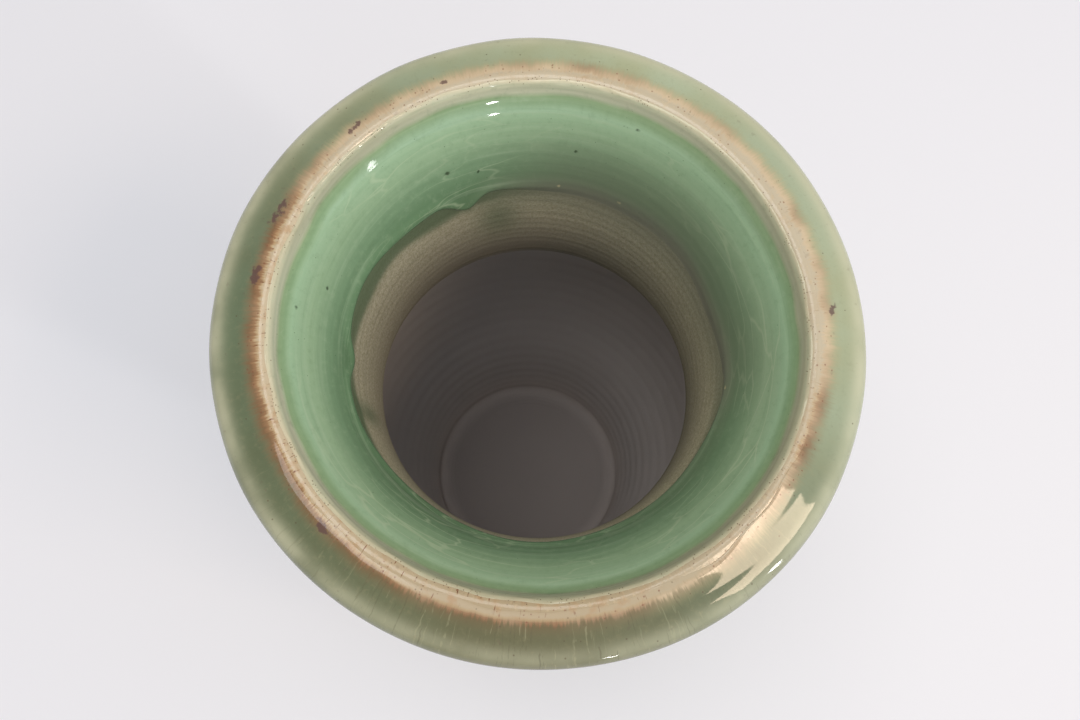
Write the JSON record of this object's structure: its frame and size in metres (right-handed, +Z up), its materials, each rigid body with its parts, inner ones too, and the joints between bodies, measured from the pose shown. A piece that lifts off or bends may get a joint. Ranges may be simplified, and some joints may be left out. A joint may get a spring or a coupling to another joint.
{
  "type": "meiping vase",
  "caption": "Green crackle-glazed stoneware vase with a rolled lip, trumpet mouth, narrow throat, broad shoulder and bare foot ring, for holding stems or water.",
  "frame": {"origin": "centre of the standing plane, under the foot ring", "axes": "+Z up along the axis that the vase is turned about; -Y towards the viewer of the picture"},
  "size_m": [0.1306, 0.1306, 0.226],
  "materials": {
    "bare_clay": "fired buff stoneware, sandy and unglazed",
    "outer_glaze": "glossy olive celadon with fine crackle and a brown iron line at the lip",
    "mouth_glaze": "glossy green celadon with crackle, pooled under the lip and ending in drips"
  },
  "bodies": {
    "root": {"foot_ring": "bare_clay", "base_disc": "bare_clay", "lower_body": "bare_clay", "shoulder": "bare_clay", "neck": "bare_clay", "rolled_lip": "bare_clay", "outer_glaze": "outer_glaze", "mouth_glaze": "mouth_glaze"}
  },
  "joints": []
}
